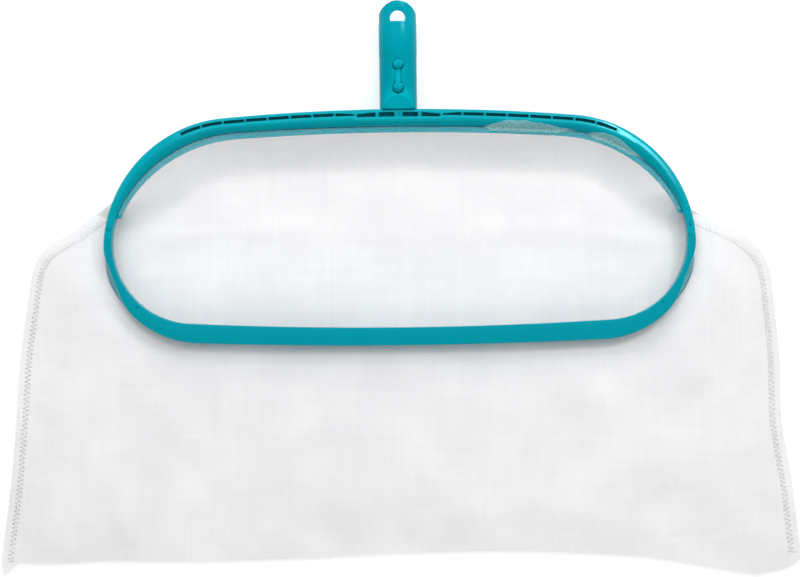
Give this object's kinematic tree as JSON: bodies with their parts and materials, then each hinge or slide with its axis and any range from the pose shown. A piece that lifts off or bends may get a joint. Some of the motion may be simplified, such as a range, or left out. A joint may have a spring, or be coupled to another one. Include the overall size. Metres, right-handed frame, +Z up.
{
  "type": "leaf skimmer net",
  "caption": "Pool leaf skimmer: a moulded oval ring on a pole tongue with a spring button clip, and a deep mesh bag hung behind it.",
  "frame": {"origin": "centre of the whole object's footprint, on the surface that it lies on", "axes": "+Y along the tongue, out of the ring towards the pole; +Z up, out of the ring's mouth; +X to the right"},
  "size_m": [0.586, 0.4194, 0.0308],
  "materials": {
    "teal_plastic": "smooth moulded polypropylene",
    "clip_plastic": "smooth moulded acetal",
    "white_mesh": "fine knitted polyester net",
    "white_thread": "twisted polyester sewing thread"
  },
  "bodies": {
    "net_frame": {"upper_bow": "teal_plastic", "lower_lip": "teal_plastic", "left_lip_corner": "teal_plastic", "right_lip_corner": "teal_plastic", "left_joint_pin": "teal_plastic", "right_joint_pin": "teal_plastic", "pole_tongue": "teal_plastic", "spring_clip": "clip_plastic", "upper_net_strip": "teal_plastic", "lower_net_strip": "teal_plastic", "left_net_strip": "teal_plastic", "right_net_strip": "teal_plastic", "net_back_panel": "white_mesh", "net_front_panel": "white_mesh", "net_left_border": "white_mesh", "net_right_border": "white_mesh", "net_bottom_border": "white_mesh", "net_left_shoulder": "white_mesh", "net_right_shoulder": "white_mesh", "upper_hem": "white_mesh", "lower_hem": "white_mesh", "left_seam_allowance": "white_mesh", "right_seam_allowance": "white_mesh", "left_seam_stitching": "white_thread", "right_seam_stitching": "white_thread"},
    "clip_lever": {"clip_arm": "clip_plastic", "upper_button": "clip_plastic", "lower_button": "clip_plastic"}
  },
  "joints": [
    {"name": "button_press", "type": "hinge", "parent": "net_frame", "child": "clip_lever", "pos_m": [0, 0.1812, 0.02365], "axis": [1, 0, 0], "range_deg": [0, 4.5], "stiffness_Nm_per_rad": 2, "springref_deg": -1.15}
  ]
}
